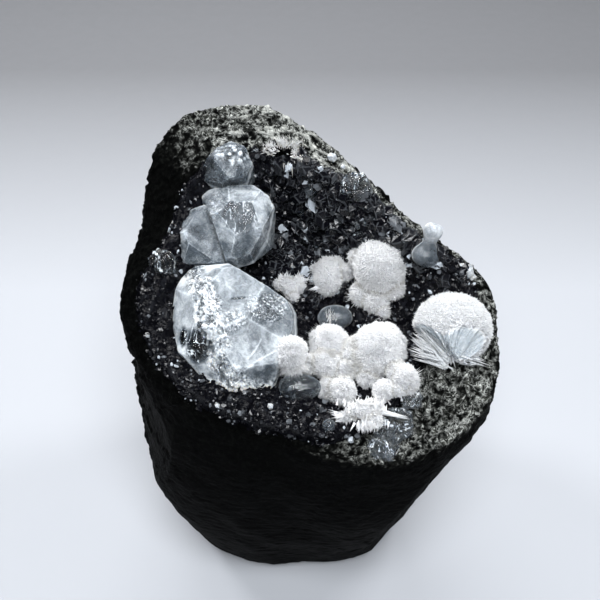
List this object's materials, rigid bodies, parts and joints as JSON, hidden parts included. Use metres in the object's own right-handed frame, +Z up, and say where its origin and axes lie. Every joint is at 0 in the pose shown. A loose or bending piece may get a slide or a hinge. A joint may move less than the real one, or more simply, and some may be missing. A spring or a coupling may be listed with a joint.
{
  "type": "thomsonite with analcime",
  "caption": "Hand specimen: black basalt, cut flat to stand, with a druse-lined hollow that holds clear analcime crystals and white balls of radiating thomsonite.",
  "frame": {"origin": "middle of the flat foot that the rock stands on", "axes": "+Z up from the foot, +X to the right and -Y towards a viewer who looks at the open hollow"},
  "size_m": [0.0441, 0.0397, 0.0573],
  "materials": {
    "black_basalt": "rough broken",
    "black_druse": "glossy small crystals",
    "clear_analcime": "clear, with etched and fractured patches",
    "white_thomsonite": "fine radiating needles",
    "glassy_thomsonite": "milky glass"
  },
  "bodies": {
    "root": {"basalt_matrix": "black_basalt", "druse_crust": "black_druse", "large_analcime": "clear_analcime", "upper_analcime_pair": "clear_analcime", "top_analcime": "clear_analcime", "front_analcimes": "clear_analcime", "druse_analcime": "clear_analcime", "left_analcime": "clear_analcime", "edge_analcime": "clear_analcime", "small_thomsonite_ball": "white_thomsonite", "upper_thomsonite_cluster": "white_thomsonite", "lower_thomsonite_cluster": "white_thomsonite", "thomsonite_fan": "white_thomsonite", "glassy_foot": "glassy_thomsonite", "glassy_dome": "glassy_thomsonite", "front_bead": "glassy_thomsonite", "rim_crystal": "glassy_thomsonite", "glassy_drop": "glassy_thomsonite"}
  },
  "joints": []
}
